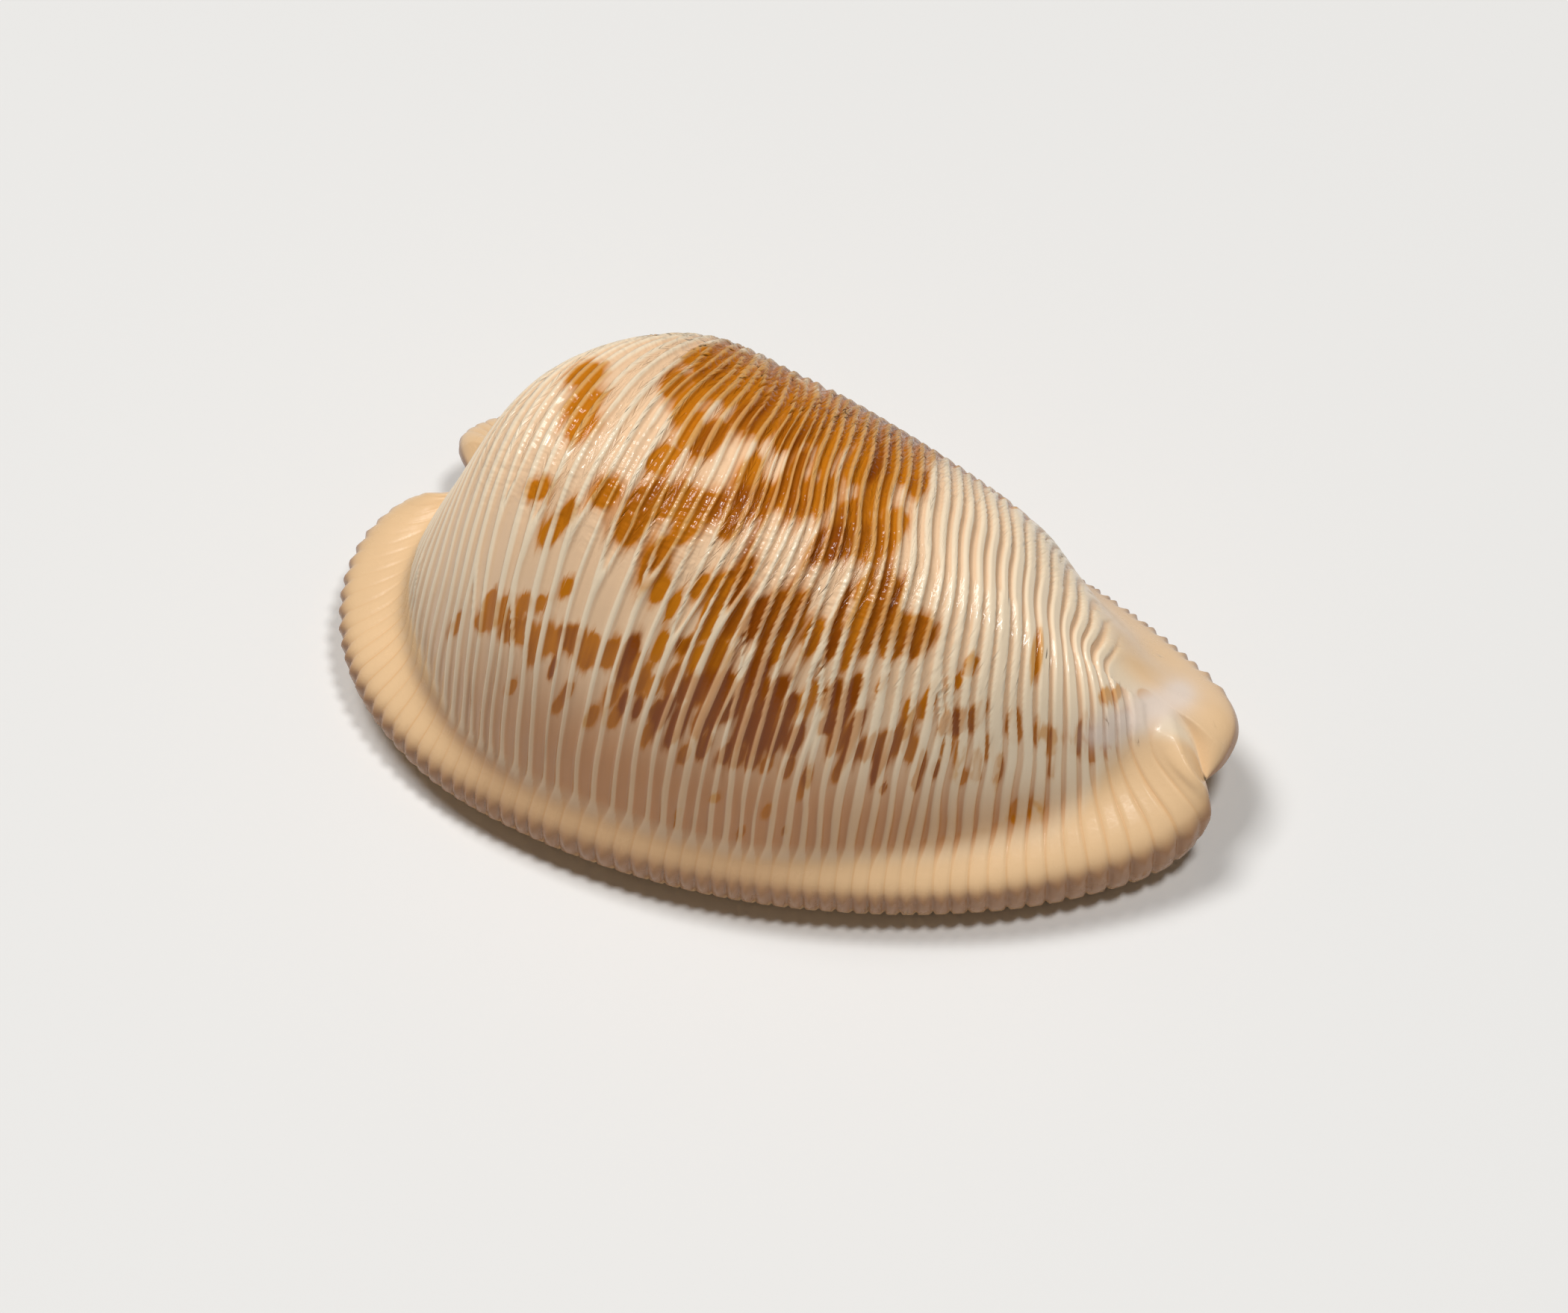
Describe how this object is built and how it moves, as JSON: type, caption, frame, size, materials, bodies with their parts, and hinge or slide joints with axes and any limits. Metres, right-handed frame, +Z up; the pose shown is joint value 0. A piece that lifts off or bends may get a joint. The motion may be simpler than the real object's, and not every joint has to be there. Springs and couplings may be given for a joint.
{
  "type": "cowrie shell",
  "caption": "Ribbed cowrie shell with a domed back, a scalloped rim, a notch at each end and a toothed slit along its base.",
  "frame": {"origin": "middle of the shell's bounding box, on the surface that its base rests on", "axes": "+X towards the narrow front end, -Y towards the outer lip, +Z up through the domed back"},
  "size_m": [0.0302, 0.0176, 0.015],
  "materials": {
    "shell": "glossy shell, cream and peach with pale ribs over pinkish tan and scattered ochre-brown blotches"
  },
  "bodies": {
    "root": {"shell": "shell"}
  },
  "joints": []
}
